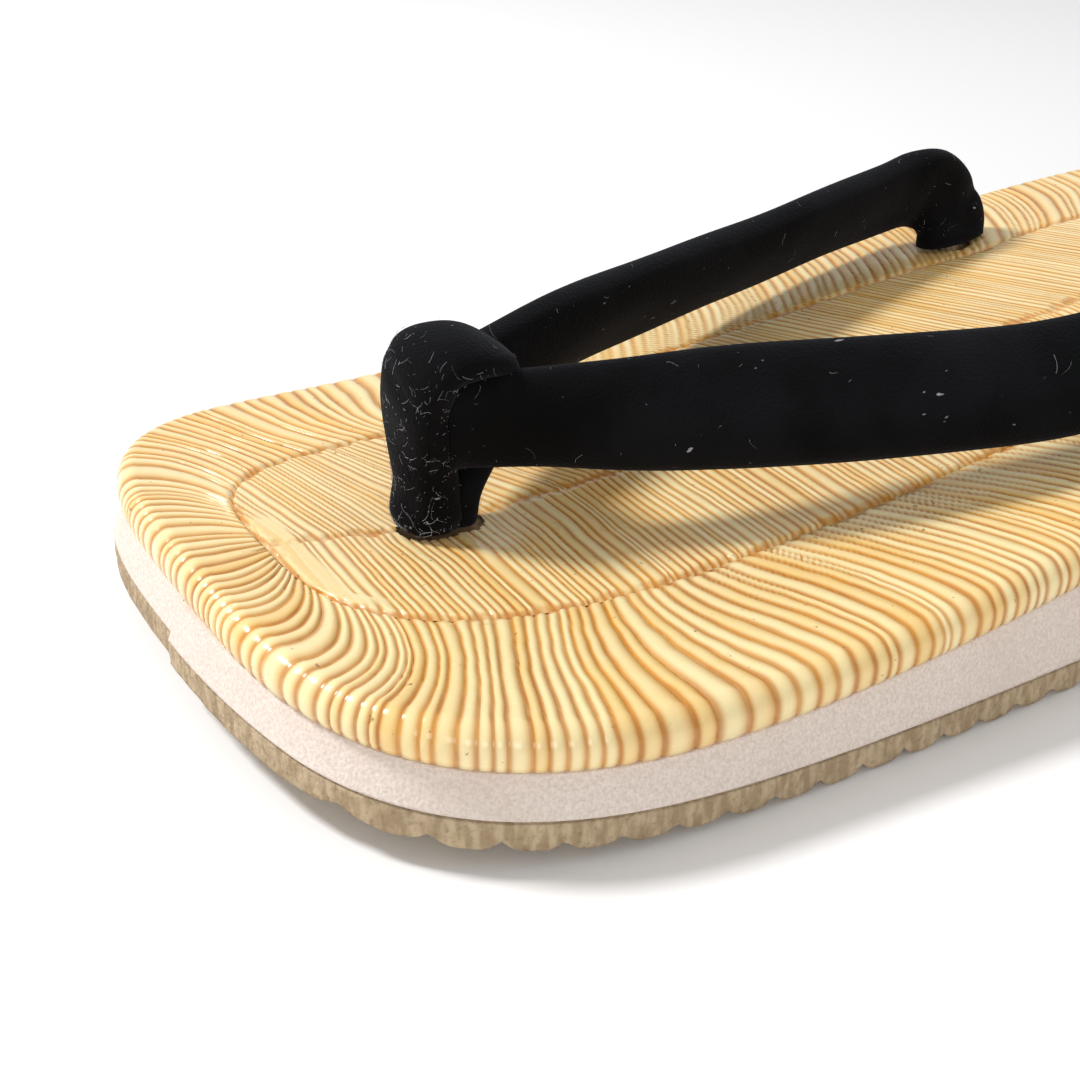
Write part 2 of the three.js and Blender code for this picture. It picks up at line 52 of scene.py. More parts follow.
# ---- the sandal's sizes, in millimetres ----------------------------------------------------------
mat_low, mat_high = (np.array(corner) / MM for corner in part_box("top_mat"))
LENGTH = mat_high[1] - mat_low[1]
BALL_HALF_WIDTH = mat_high[0]
WAIST_HALF_WIDTH = 47
HEEL_HALF_WIDTH = 46
TOE_CAP = 56
HEEL_CAP = 58
TOE_SQUARENESS = 3.5
HEEL_SQUARENESS = 2.6
WAIST_FROM_TOE = 165
TOE_TIP = -LENGTH / 2
OUTSOLE_THICKNESS = 3.4
MIDSOLE_THICKNESS = 4.6
MAT_AND_BOARD = 5.1
HEEL_RISE = 16.7
WEDGE_START = TOE_TIP + 25
WEDGE_END = TOE_TIP + 215
TOE_SPRING = 4
TOE_SPRING_LENGTH = 60
SEAT_GAP = 0.3
SOLE_FLARE = 0.9
MIDSOLE_TUCK = 0.8
TREAD_PITCH = 6
TREAD_DEPTH = 1.2
SLIT_WIDTH = 0.8
TOE_HOLE_Y = TOE_TIP + 33.5
SIDE_HOLE_Y = TOE_HOLE_Y + 113
SIDE_HOLE_X = 32
STRAP_WIDTH = 15
STRAP_THICKNESS = 8
JUNCTION_HEIGHT = 14.5
INSTEP_HEIGHT = 13.8
ARCH_HEIGHT = 10.4
FOLD_HEIGHT = 9
LOOP_THICKNESS = 4.4
LOOP_WIDTH = 13
LOOP_LEG_WIDTH = 6
LEG_CLEARANCE = 1
TOE_CORD_SPACING = 5


# ---- the sandal's form ---------------------------------------------------------------------------
def ramp(value, low, high):
    t = np.clip((value - low) / (high - low), 0, 1)
    return t * t * (3 - 2 * t)


def half_width(y):
    to_waist = BALL_HALF_WIDTH + (WAIST_HALF_WIDTH - BALL_HALF_WIDTH) * ramp(
        y, TOE_TIP + TOE_CAP, TOE_TIP + WAIST_FROM_TOE)
    return to_waist + (HEEL_HALF_WIDTH - WAIST_HALF_WIDTH) * ramp(
        y, TOE_TIP + WAIST_FROM_TOE, -TOE_TIP - HEEL_CAP)


def ground(y):
    curl = np.clip((TOE_TIP + TOE_SPRING_LENGTH - y) / TOE_SPRING_LENGTH, 0, 1)
    return TOE_SPRING * curl ** 2


def midsole_top(y):
    wedge = HEEL_RISE * ramp(y, WEDGE_START, WEDGE_END)
    return ground(y) + OUTSOLE_THICKNESS + SEAT_GAP + MIDSOLE_THICKNESS + wedge


def mat_top(y):
    return midsole_top(y) + MAT_AND_BOARD


def round_end(tip, length, squareness):
    turn = np.linspace(0, math.pi / 2, 500)
    y = tip - math.copysign(1, tip) * length * (1 - np.cos(turn) ** (2 / squareness))
    return np.stack([half_width(y) * np.sin(turn) ** (2 / squareness), y], axis=1)


def outline(count):
    """Points round the sandal's edge, anticlockwise from the toe, with their outward normals."""
    toe = round_end(TOE_TIP, TOE_CAP, TOE_SQUARENESS)
    heel = round_end(-TOE_TIP, HEEL_CAP, HEEL_SQUARENESS)[::-1]
    y = np.linspace(TOE_TIP + TOE_CAP, -TOE_TIP - HEEL_CAP, 200)[1:-1]
    right = np.concatenate([toe, np.stack([half_width(y), y], axis=1), heel])
    left = right[-2:0:-1] * (-1, 1)
    loop = np.concatenate([right, left, right[:1]])
    walked = np.concatenate([[0], np.cumsum(np.hypot(*np.diff(loop, axis=0).T))])
    at = np.arange(count) / count * walked[-1]
    points = np.stack([np.interp(at, walked, loop[:, axis]) for axis in (0, 1)], axis=1)
    along = np.roll(points, -1, axis=0) - np.roll(points, 1, axis=0)
    normals = np.stack([along[:, 1], -along[:, 0]], axis=1)
    return points, normals / np.linalg.norm(normals, axis=1)[:, None], at, walked[-1]


class Grain:
    """Smooth random values over a plane, the same on every run."""

    def __init__(self, seed, scale):
        self.scale = scale
        self.lattice = np.random.RandomState(seed).uniform(-1, 1, (97, 97))

    def __call__(self, x, y):
        u, v = np.asarray(x) / self.scale, np.asarray(y) / self.scale
        column, row = np.floor(u).astype(int), np.floor(v).astype(int)
        fu, fv = u - column, v - row
        fu, fv = fu * fu * (3 - 2 * fu), fv * fv * (3 - 2 * fv)
        pick = lambda dx, dy: self.lattice[(column + dx) % 97, (row + dy) % 97]
        low = pick(0, 0) * (1 - fu) + pick(1, 0) * fu
        high = pick(0, 1) * (1 - fu) + pick(1, 1) * fu
        return low * (1 - fv) + high * fv


# ---- meshes --------------------------------------------------------------------------------------
def quads(rows, columns, closed):
    """Corner numbers of the four-sided faces of a grid of rows, each row closed on itself or open."""
    index = np.arange(rows * columns).reshape(rows, columns)
    if closed:
        index = np.concatenate([index, index[:, :1]], axis=1)
    corners = [index[:-1, :-1], index[:-1, 1:], index[1:, 1:], index[1:, :-1]]
    return np.stack(corners, axis=-1).reshape(-1, 4)


def add_object(name, points, faces, attributes=None):
    mesh = bpy.data.meshes.new(name)
    places = np.asarray(points).reshape(-1, 3) * MM
    corners = [list(map(int, face)) for face in faces]
    mesh.from_pydata(places.tolist(), [], corners)
    for key, values in (attributes or {}).items():
        layer = mesh.attributes.new(key, "FLOAT", "POINT")
        layer.data.foreach_set("value", np.asarray(values, np.float32).ravel())
    mesh.shade_smooth()
    piece = bpy.data.objects.new(name, mesh)
    bpy.context.scene.collection.objects.link(piece)
    return piece


def tidy_mesh(piece, weld=2e-6, face_out=True):
    solid = bmesh.new()
    solid.from_mesh(piece.data)
    bmesh.ops.remove_doubles(solid, verts=solid.verts, dist=weld)
    if face_out:
        bmesh.ops.recalc_face_normals(solid, faces=solid.faces)
    solid.to_mesh(piece.data)
    solid.free()


# ---- the mat -------------------------------------------------------------------------------------
SPINE_OFFSET = -1
FIELD_SHARE = (0.535, 0.915)  # size of the inner field against the plan, across and along
FIELD_ROWS = 1440
FIELD_COLUMNS = 121
FIELD_DEPTH = 26  # from the field's edge to its middle
SPOKES = 2600
BORDER_ROWS = 31
LIP_TURNS = 9
LIP_RADIUS = 3
HOLE_RADIUS = 3.2
HOLE_DIP = 0.7
FIELD_PITCH = 1.06
BORDER_PITCH = 1.62
SKIRT = ((3.9, 0.05, 1), (4.7, 0.35, 0.8), (4.9, 1.2, 0.3), (4.9, 3.2, 0))  # drop, inset, fade
RIB_HEIGHT = 0.42
FIELD_RIB_HEIGHT = 0.26


class Ribs:
    """A row of cane-like ribs of uneven width: profile and tone at a distance along the row."""

    def __init__(self, seed, pitch, total):
        random = np.random.RandomState(seed)
        widths = pitch * np.exp(random.normal(0, 0.25, int(total / pitch * 2)))
        wide = random.uniform(size=len(widths)) < 0.07
        widths[wide] *= 1.7
        self.edges = np.concatenate([[0], np.cumsum(widths)]) - total / 2
        self.tones = random.uniform(0, 1, len(self.edges) + 1)
        self.heights = random.uniform(0.75, 1.1, len(self.edges) + 1)

    def __call__(self, place):
        rib = np.clip(np.searchsorted(self.edges, place) - 1, 0, len(self.edges) - 2)
        across = (place - self.edges[rib]) / (self.edges[rib + 1] - self.edges[rib])
        crest = np.sin(math.pi * np.clip(across, 0, 1)) ** 0.6
        return crest, self.tones[rib], self.heights[rib], across


def weave(x, y, border, edge_run):
    """Rib profile, tone and height over the mat. border is 0 on the field's edge and 1 at the rim."""
    wobble = 0.5 * Grain(3, 23)(x, y) + 0.2 * Grain(4, 7)(x, y) + 0.07 * Grain(5, 2.4)(x, y)
    from_spine = x - SPINE_OFFSET
    slant = np.where(from_spine < 0, 0.18 + 0.2 * ramp(y, TOE_TIP + 15, TOE_TIP + 35), -0.07)
    field = Ribs(11, FIELD_PITCH, 420)(y - slant * from_spine + wobble)
    fan = 13 * ramp(edge_run, 55, 100)
    fan = fan * (1 - 0.5 * ramp(edge_run, 110, 200)) * (1 - ramp(edge_run, 235, 300))
    spread = edge_run - fan * (1 - (1 - np.clip(border, 0, 1)) ** 1.9) - 16 * np.tanh(edge_run / 70)
    rim = Ribs(12, BORDER_PITCH, 760)(np.where(x > 0, 1, -1) * spread + wobble * 1.4)
    on_border = border > 0
    crest, tone, tall, across = (np.where(on_border, outer, inner) for outer, inner in zip(rim, field))
    height = tall * np.where(on_border, RIB_HEIGHT, FIELD_RIB_HEIGHT)
    return crest, tone, height, across


def near_hole(x, y):
    """Distance from the middle of the nearest cord hole, whose toe hole is a slot."""
    toe = np.hypot(x, np.maximum(np.abs(y - TOE_HOLE_Y) - TOE_CORD_SPACING / 2, 0))
    return np.minimum(toe, np.hypot(np.abs(x) - SIDE_HOLE_X, y - SIDE_HOLE_Y))


def relief(x, y, border, edge_run):
    """How far the weave's surface lies below its crests, and the values that its colours come from."""
    crest, tone, tall, across = weave(x, y, border, edge_run)
    from_line = np.abs(border) * np.where(border > 0, 24, 26)
    from_spine = np.abs(x - SPINE_OFFSET) + 40 * (border > 0)
    ragged = np.minimum(from_line, from_spine) + 0.7 * Grain(8, 1.1)(x, y)
    seam = 1 - ramp(ragged, 0.2, 1.2)
    # a smooth patch without ribs, just inside the field's toe end
    patch = (1 - ramp(np.abs(border + 0.09), 0.055, 0.085)) * ramp(x, -12, -7)
    patch = patch * (1 - ramp(x, 15, 20)) * (y < TOE_TIP + 40)
    crest = crest * (1 - 0.3 * seam)
    rise = tall * (1 - 0.9 * patch) * (crest - 1) - 0.22 * seam + 0.12 * Grain(9, 31)(x, y)
    rise = rise - HOLE_DIP * (1 - ramp(near_hole(x, y), 3, 12))
    colours = {
        "crest": np.maximum(crest, patch * 0.9),
        "tone": tone,
        "seam": seam,
        # across also drives the painted shade on one side of each rib, in the vinyl finish
        "across": across * (1 - patch),
    }
    return rise, colours


def field_patch():
    """The inner field: rows across the mat, close enough together to shape each rib."""
    edge, _, _, _ = outline(1600)
    right = edge[:len(edge) // 2] * FIELD_SHARE
    order = np.argsort(right[:, 1])
    y = np.linspace(right[:, 1].min() + 0.02, right[:, 1].max() - 0.02, FIELD_ROWS)
    half = np.interp(y, right[order, 1], right[order, 0]) + 0.25
    share = np.linspace(-1, 1, FIELD_COLUMNS)
    x = half[:, None] * share + SPINE_OFFSET
    y = np.broadcast_to(y[:, None], x.shape)
    tip = FIELD_SHARE[1] * -TOE_TIP
    inside = np.minimum(half[:, None] * (1 - np.abs(share)), tip - np.abs(y))
    border = -np.clip(inside / FIELD_DEPTH, 0.0001, 1)
    rise, colours = relief(x, y, border, np.zeros(x.shape))
    rise = rise - 0.25 * (1 - ramp(inside, 0, 0.5))
    points = np.stack([x, y, mat_top(y) + rise], axis=-1)
    return points, quads(*x.shape, False)[:, ::-1], colours


def border_patch():
    """The border: spokes that leave the field's edge, meet the rim squarely and go round the lip."""
    edge, normal, walked, around = outline(SPOKES)
    edge_run = np.minimum(walked, around - walked)
    lip = edge - normal * LIP_RADIUS
    field_edge = edge * FIELD_SHARE + (SPINE_OFFSET, 0)
    reach = np.linalg.norm(lip - field_edge, axis=1)[:, None]
    square = lip - normal * reach * 0.45
    rows = []
    for share in np.linspace(0, 1, BORDER_ROWS + 1)[:-1]:
        plan = (1 - share) ** 2 * field_edge + 2 * share * (1 - share) * square + share ** 2 * lip
        rows.append((plan, share + 1e-6, 0, 0, 1))
    for turn in np.linspace(0, math.pi / 2, LIP_TURNS):
        drop = LIP_RADIUS * (1 - math.cos(turn))
        rows.append((lip + normal * LIP_RADIUS * math.sin(turn), 1, drop, math.sin(turn), 1))
    for drop, inset, fade in SKIRT:
        rows.append((edge - normal * inset, 1, drop, 1, fade))
    plan = np.array([row[0] for row in rows])
    border, drop, out, fade = (
        np.array([row[column] for row in rows])[:, None] * np.ones(SPOKES) for column in range(1, 5))
    x, y = plan[..., 0], plan[..., 1]
    rise, colours = relief(x, y, border, np.broadcast_to(edge_run, x.shape))
    rise = rise * fade * (1 - 0.35 * out) - 0.25 * (1 - ramp(border, 0, 0.02))
    at_edge = y * (1 - out) + edge[:, 1] * out
    points = np.stack([
        x + out * rise * normal[:, 0],
        y + out * rise * normal[:, 1],
        mat_top(at_edge) - drop + (1 - out) * rise,
    ], axis=-1)
    return points, quads(len(rows), SPOKES, True), colours


def make_mat():
    """One skin of the field and the border, with the cord holes left open."""
    patches = [field_patch(), border_patch()]
    points, faces, first = [], [], 0
    for grid, corners, _ in patches:
        flat = grid.reshape(-1, 3)
        middle = flat[corners].mean(axis=1)
        corners = corners[near_hole(middle[:, 0], middle[:, 1]) > HOLE_RADIUS]
        points.append(flat)
        faces.append(corners + first)
        first += len(flat)
    colours = {}
    for key in patches[0][2]:
        colours[key] = np.concatenate([patch[2][key].ravel() for patch in patches])
    mat = add_object("mat_vinyl", np.concatenate(points), np.concatenate(faces), colours)
    tidy_mesh(mat, face_out=False)
    return mat


# ---- the sole ------------------------------------------------------------------------------------
SPINE_SHARE = 0.66  # length of the line that the layers' rings spread from, against the plan
TOE_SWELL = 0.9
TOE_SWELL_LENGTH = 26
SLIT_REACH = 60


def make_sole_layer(name, spokes, low, high, low_out, high_out, wall_rows, roughness, ripples):
    """A layer of the sole, cut open along the middle of the toe. low and high give its two faces."""
    edge, normal, walked, around = outline(spokes)
    half_slit = SLIT_WIDTH / 2
    edge = np.concatenate([edge, edge[:1]])
    normal = np.concatenate([normal, normal[:1]])
    run = np.concatenate([walked, [around]])
    spine = np.stack([np.zeros(len(edge)), edge[:, 1] * SPINE_SHARE], axis=1)
    near_slit = np.minimum(run, around - run)
    proud = TOE_SWELL * (1 - ramp(run, 0, TOE_SWELL_LENGTH))
    side = np.where(run < around / 2, 1, -1)
    rings = np.linspace(0, 1, 26) ** 0.8
    rows = []
    for share in rings:
        plan = spine + (edge + normal * low_out - spine) * share
        rows.append((plan, low, share, 0))
    for share in np.linspace(0, 1, wall_rows)[1:-1]:
        out = low_out + (high_out - low_out) * share
        rows.append((edge + normal * out, None, 1, share))
    for share in rings[::-1]:
        plan = spine + (edge + normal * high_out - spine) * share
        rows.append((plan, high, share, 1))
    grid = []
    rough = Grain(21, 0.9)
    coarse = Grain(22, 6)
    for plan, height, share, level in rows:
        plan = plan + normal * (proud * share ** 3)[:, None]
        x, y = plan[:, 0].copy(), plan[:, 1]
        bottom = low(y) + (ripples(x, y) if ripples and level < 1 else 0)
        z = height(y) if level == 1 else bottom
        if 0 < level < 1:
            z = bottom + (high(y) - bottom) * level
            push = roughness * (rough(run, z) + 0.8 * coarse(run, z))
            x = x + normal[:, 0] * push
            y = y + normal[:, 1] * push
        at_slit = (near_slit < SLIT_REACH) & (np.abs(x) < half_slit * 1.01)
        x = np.where(at_slit, half_slit * side, x)
        at_toe = (np.abs(y - TOE_TIP) < SLIT_REACH) & (share > 0) & (np.abs(x) < half_slit)
        x = np.where(at_toe, half_slit * side, x)
        grid.append(np.stack([x, y, z], axis=-1))
    grid = np.array(grid)
    faces = [tuple(face) for face in quads(len(rows), len(edge), False)]
    columns = len(edge)
    last_ring = len(rings) - 1
    top = len(rows) - 1
    # the slit's two walls
    for column, flip in ((0, 1), (columns - 1, -1)):
        at = lambda row: row * columns + column
        for ring in range(last_ring):
            wall = (at(ring), at(ring + 1), at(top - ring - 1), at(top - ring))
            if ring == last_ring - 1:
                wall = tuple(at(row) for row in range(ring, top - ring + 1))
            faces.append(wall[::flip])
    piece = add_object(name, grid, faces)
    tidy_mesh(piece)
    return piece


def tread(x, y):
    """Height of the tread: round ribs across the sole, parted by narrow notches, all a little uneven."""
    place = y / TREAD_PITCH + 0.06 * Grain(31, 18)(x, y)
    across = np.abs(place - np.round(place)) * 2
    return TREAD_DEPTH * across ** 3.2 + 0.12 * (1 + Grain(32, 2.2)(x, y))


# ---- the strap -----------------------------------------------------------------------------------
def catmull(points, places):
    """Smooth curve through the points, at places from 0 to 1, spaced as the points are."""
    points = np.asarray(points, float)
    padded = np.concatenate([[2 * points[0] - points[1]], points, [2 * points[-1] - points[-2]]])
    t = np.clip(np.asarray(places), 0, 1) * (len(points) - 1)
    cell = np.minimum(t.astype(int), len(points) - 2)
    f = (t - cell)[:, None]
    a, b, c, d = (padded[cell + k] for k in range(4))
    bend = (2 * a - 5 * b + 4 * c - d) * f ** 2
    twist = (3 * b - a - 3 * c + d) * f ** 3
    return 0.5 * (2 * b + (c - a) * f + bend + twist)


def band(name, stations, sections, steps, shape, trim_start=False):
    """A closed soft band along stations (x, y, above, face, width, thickness). above is from the mat."""
    places = np.linspace(0, 1, steps)
    line = catmull([(s[0], s[1], mat_top(s[1]) + s[2]) for s in stations], places)
    face = catmull([np.array(s[3]) / np.linalg.norm(s[3]) for s in stations], places)
    size = catmull([(s[4], s[5]) for s in stations], places)
    forward = np.gradient(line, axis=0)
    forward /= np.linalg.norm(forward, axis=1)[:, None]
    face -= forward * (face * forward).sum(axis=1)[:, None]
    face /= np.linalg.norm(face, axis=1)[:, None]
    edge = np.cross(face, forward)
    turn = np.linspace(0, 2 * math.pi, sections, endpoint=False)
    across, out = shape(turn[None, :], places[:, None])
    grid = (line[:, None] + edge[:, None] * (across * size[:, :1] / 2)[..., None]
            + face[:, None] * (out * size[:, 1:] / 2)[..., None])
    grid[-1, :, 2] = mat_top(grid[-1, :, 1]) + SEAT_GAP
    if trim_start:
        grid[0, :, 2] = mat_top(grid[0, :, 1]) + SEAT_GAP
    faces = [tuple(f) for f in quads(steps, sections, True)]
    faces.append(tuple(range(sections))[::-1])
    faces.append(tuple((steps - 1) * sections + k for k in range(sections)))
    piece = add_object(name, grid, faces)
    tidy_mesh(piece)
    return piece


def pillow(power, crease=None):
    """A band's section: an oval, squarer as power falls, with the crease's swell and slide added."""
    def shape(turn, place):
        across = np.sign(np.cos(turn)) * np.abs(np.cos(turn)) ** power
        out = np.sign(np.sin(turn)) * np.abs(np.sin(turn)) ** power
        if crease is not None:
            swell, slide = crease(turn, place)
            across, out = across * (1 + slide), out * (1 + swell)
        return across + 0 * place, out + 0 * place
    return shape


def strap_stations(side):
    face = lambda x, y, z: (side * x, y, z)
    near_width, near_thickness = STRAP_WIDTH * 0.8, STRAP_THICKNESS * 0.72
    leg_thickness = STRAP_THICKNESS * 0.8
    beside_leg = (leg_thickness + LOOP_LEG_WIDTH) / 2 + LEG_CLEARANCE
    third = (SIDE_HOLE_Y - TOE_HOLE_Y) * 0.3
    beside = near_thickness / 2 + SEAT_GAP
    toe, end = TOE_HOLE_Y, SIDE_HOLE_Y
    wide, thick = STRAP_WIDTH, STRAP_THICKNESS
    raw = [
        (beside, toe - 4, JUNCTION_HEIGHT - 0.5, face(1, 0.1, 0), near_width, near_thickness),
        (beside + 0.4, toe, JUNCTION_HEIGHT, face(1, -0.1, 0), near_width, near_thickness),
        (beside_leg, toe + 9, JUNCTION_HEIGHT, face(1, -0.3, 0.12), near_width, leg_thickness),
        (SIDE_HOLE_X * 0.58, toe + third, INSTEP_HEIGHT, face(0.78, -0.2, 0.55), wide, thick),
        (SIDE_HOLE_X * 0.92, toe + third * 2, ARCH_HEIGHT, face(0.75, -0.1, 0.6), wide, thick),
        (SIDE_HOLE_X + 2.6, end - 15, FOLD_HEIGHT + 0.8, face(0.8, 0, 0.5), wide * 0.93, thick),
        (SIDE_HOLE_X + 2.4, end - 4.5, FOLD_HEIGHT, face(1, 0, 0.25), wide * 0.9, thick * 0.92),
        (SIDE_HOLE_X + 1.1, end, FOLD_HEIGHT * 0.45, face(1, 0, 0.1), wide * 0.85, thick * 0.86),
        (SIDE_HOLE_X, end, SEAT_GAP, face(1, 0, 0), wide * 0.88, thick * 0.82),
    ]
    return [(side * s[0],) + s[1:] for s in raw]


def strap_crease(turn, place):
    """Soft waves in the padding, a fold beside the toe loop and a pinch above the side hole."""
    wave = 0.025 * np.sin(place * 31 + 2 * np.cos(turn)) + 0.02 * np.sin(place * 57 + 3 * turn)
    pinch = np.exp(-((place - 0.85) / 0.03) ** 2) * np.clip(-np.cos(turn), 0, 1)
    tuck = np.exp(-((place - 0.075 - 0.02 * np.sin(turn)) / 0.012) ** 2)
    swell = np.exp(-((place - 0.115) / 0.03) ** 2)
    return wave - 0.45 * pinch - 0.2 * tuck + 0.22 * swell, 0.4 * wave - 0.06 * pinch


def make_strap(side, word):
    return band(f"strap_velvet_{word}", strap_stations(side), 56, 150, pillow(0.87, strap_crease))


def loop_stations():
    front, top, rear = np.array((0, -1, 0)), np.array((0, 0, 1)), np.array((0, 1, 0))

    def at(from_hole, above, face, width, thickness):
        return 0, TOE_HOLE_Y + from_hole, above, face, width, thickness

    strap_top = JUNCTION_HEIGHT + STRAP_WIDTH * 0.4
    crown = strap_top + LOOP_THICKNESS * 0.28
    return [
        at(-2, SEAT_GAP, front, 8.8, 7.6),
        at(-2, 2.2, front, 10, 8),
        at(-2.1, 6, front, 9.8, 7),
        at(-2.6, 11, front, 11, 6.6),
        at(-3, strap_top - 4, front, LOOP_WIDTH, 6.4),
        at(-1.6, crown - 1.2, front + top, LOOP_WIDTH + 1.4, 6),
        at(2.4, crown, top, LOOP_WIDTH + 1.6, 5.4),
        at(6.4, crown - 1.4, top + rear, LOOP_WIDTH, LOOP_THICKNESS),
        at(7.6, strap_top - 4.4, rear, LOOP_LEG_WIDTH + 2.4, LOOP_THICKNESS),
        at(5.6, strap_top * 0.46, rear, LOOP_LEG_WIDTH + 1, LOOP_THICKNESS),
        at(2.4, 4.4, rear, LOOP_LEG_WIDTH + 2.4, 4.8),
        at(1.8, SEAT_GAP, rear, LOOP_LEG_WIDTH + 1.4, 4.8),
    ]


def make_loop():
    return band("toe_loop_velvet", loop_stations(), 56, 150, pillow(0.9, loop_crease), trim_start=True)


def make_loop_cord():
    """The flat cord inside the loop."""
    stations = [station[:4] + (station[4] * 0.45, station[5] * 0.35) for station in loop_stations()]
    return band("toe_loop_cord", stations, 20, 90, pillow(0.9), trim_start=True)


def loop_crease(turn, place):
    """Gathers that run up the front of the loop, and a crease across it where it turns over the straps."""
    gather = 0.05 * np.sin(5 * turn + 2 * place) * np.exp(-((place - 0.16) / 0.1) ** 2)
    crease = 0.1 * np.exp(-((place - 0.4 - 0.05 * np.cos(turn)) / 0.015) ** 2)
    wave = 0.03 * np.sin(place * 40 + 3 * turn)
    return gather - crease + wave, 0.5 * gather + 0.4 * wave


# ---- lint on the velvet --------------------------------------------------------------------------
LINT_SHORTEST = 0.15
LINT_SPREAD = 1.5
LINT_RADII = (0.012, 0.03)


def make_lint(name, seed, count, pieces, region=None):
    """Tiny pale fibres that cling to the velvet, as bent three-sided threads."""
    random = np.random.RandomState(seed)
    points, faces = [], []
    for piece in pieces:
        spots = [(vertex.co.copy(), vertex.normal.copy()) for vertex in piece.data.vertices]
        share = count // len(pieces)
        picks = random.permutation(len(spots))
        kept = 0
        for pick in picks:
            place, out = spots[pick]
            if kept == share:
                break
            if region and not region(place):
                continue
            kept += 1
            side = out.cross(Vector(random.normal(size=3))).normalized()
            bend = out.cross(side)
            length = (LINT_SHORTEST + LINT_SPREAD * random.uniform() ** 3) * MM
            curl = random.uniform(-1.4, 1.4)
            radius = random.uniform(*LINT_RADII) * MM
            first = len(points)
            for step in range(5):
                along = step / 4
                middle = place + out * (0.1 * MM + random.uniform(0, 0.12) * MM)
                middle = middle + side * length * (along - 0.5) + bend * length * curl * along * along
                for corner in range(3):
                    turn = corner * 2 * math.pi / 3
                    points.append((middle + (out * math.cos(turn) + bend * math.sin(turn)) * radius) / MM)
            for step in range(4):
                for corner in range(3):
                    low, high = first + step * 3, first + step * 3 + 3
                    after = (corner + 1) % 3
                    faces.append((low + corner, low + after, high + after, high + corner))
            faces.append((first + 2, first + 1, first))
            faces.append((first + 12, first + 13, first + 14))
    return add_object(name, points, faces)


# ---- finishes ------------------------------------------------------------------------------------
def linear(red, green, blue):
    """A colour given as it looks, from 0 to 255, as the shader's linear colour."""
    def one(value):
        return ((value / 255 + 0.055) / 1.055) ** 2.4 if value > 10.3 else value / 255 / 12.92

    return one(red), one(green), one(blue), 1


class Field:
    """A number that changes over a surface. Sums on it add Math nodes to its finish."""

    def __init__(self, finish, socket):
        self.finish, self.socket = finish, socket

    def maths(self, operation, *values):
        return self.finish.node("ShaderNodeMath", {"operation": operation}, dict(enumerate(values)))

    def __add__(self, other):
        return self.maths("ADD", self, other)

    def __mul__(self, other):
        return self.maths("MULTIPLY", self, other)

    def __rsub__(self, other):
        return self.maths("SUBTRACT", other, self)

    __radd__ = __add__
    __rmul__ = __mul__

    def between(self, low, high):
        """0 at low, 1 at high, smooth between."""
        settings = {"interpolation_type": "SMOOTHSTEP"}
        values = {"Value": self, "From Min": low, "From Max": high}
        return self.finish.node("ShaderNodeMapRange", settings, values)


class Finish:
    """A material built as expressions: fields and colours go in, one Principled shader comes out."""

    def __init__(self, name):
        self.material = bpy.data.materials.new(name)
        self.material.use_nodes = True
        self.tree = self.material.node_tree
        self.shader = self.tree.nodes["Principled BSDF"]

    def put(self, socket, value):
        if isinstance(value, Field):
            self.tree.links.new(value.socket, socket)
        else:
            socket.default_value = value

    def node(self, kind, settings=None, inputs=None, output=0):
        made = self.tree.nodes.new(kind)
        for key, value in (settings or {}).items():
            setattr(made, key, value)
        for key, value in (inputs or {}).items():
            self.put(made.inputs[key], value)
        return Field(self, made.outputs[output])

    def place(self):
        return self.node("ShaderNodeTexCoord", output="Object")

    def noise(self, scale, detail=3, stretch=(1, 1, 1)):
        spot = self.node("ShaderNodeMapping", {}, {"Vector": self.place(), "Scale": stretch})
        values = {"Vector": spot, "Scale": scale, "Detail": detail}
        return self.node("ShaderNodeTexNoise", {}, values, "Fac")

    def attribute(self, name):
        return self.node("ShaderNodeAttribute", {"attribute_name": name}, {}, "Fac")

    def mix(self, share, one, other):
        return self.node("ShaderNodeMix", {"data_type": "RGBA"}, {0: share, 6: one, 7: other}, 2)

    def bump(self, height, strength, distance):
        values = {"Height": height, "Strength": strength, "Distance": distance}
        return self.node("ShaderNodeBump", {}, values)

    def wear(self, **inputs):
        for key, value in inputs.items():
            self.put(self.shader.inputs[key.replace("_", " ")], value)
        return self.material


def vinyl_finish():
    finish = Finish("cane_vinyl")
    crest, tone = finish.attribute("crest"), finish.attribute("tone")
    seam, across = finish.attribute("seam"), finish.attribute("across")
    groove = 1 - crest.between(0.35, 0.97)
    cream = finish.mix(tone.between(0.2, 1), linear(252, 230, 172), linear(246, 208, 134))
    cream = finish.mix(finish.noise(70).between(0.4, 0.7) * 0.4, cream, linear(250, 234, 186))
    ochre = finish.mix(finish.noise(90).between(0.3, 0.7), linear(216, 148, 52), linear(188, 118, 38))
    # ochre in the grooves: the vinyl's own darker tone, partly painted shade that deepens the recesses
    # between ribs
    colour = finish.mix(groove * (0.8 + 0.2 * tone), cream, ochre)
    # painted shade: the second half of every rib is darkened toward ochre, as if the light fell from the
    # other side
    colour = finish.mix(across.between(0.5, 1) * (1 - groove) * 0.6, colour, linear(228, 166, 72))
    colour = finish.mix(seam * finish.noise(260).between(0.46, 0.6) * 0.6, colour, linear(204, 132, 48))
    specks = finish.noise(900, 2).between(0.72, 0.76) * 0.6
    colour = finish.mix(specks, colour, linear(120, 70, 30))
    mottle = finish.noise(420, 4)
    return finish.wear(
        Base_Color=colour, Roughness=0.2 + 0.16 * finish.noise(130), Specular_IOR_Level=0.5,
        Coat_Weight=0.35, Coat_Roughness=0.12, Normal=finish.bump(mottle, 0.25, 0.0004))


def foam_finish():
    finish = Finish("sanded_foam")
    grain, cloud = finish.noise(2600, 2), finish.noise(45, 3)
    colour = finish.mix(grain.between(0.25, 0.75), linear(218, 202, 190), linear(238, 224, 213))
    colour = finish.mix(cloud.between(0.5, 0.8) * 0.25, colour, linear(206, 184, 170))
    return finish.wear(Base_Color=colour, Roughness=0.9, Normal=finish.bump(grain, 0.5, 0.0003))


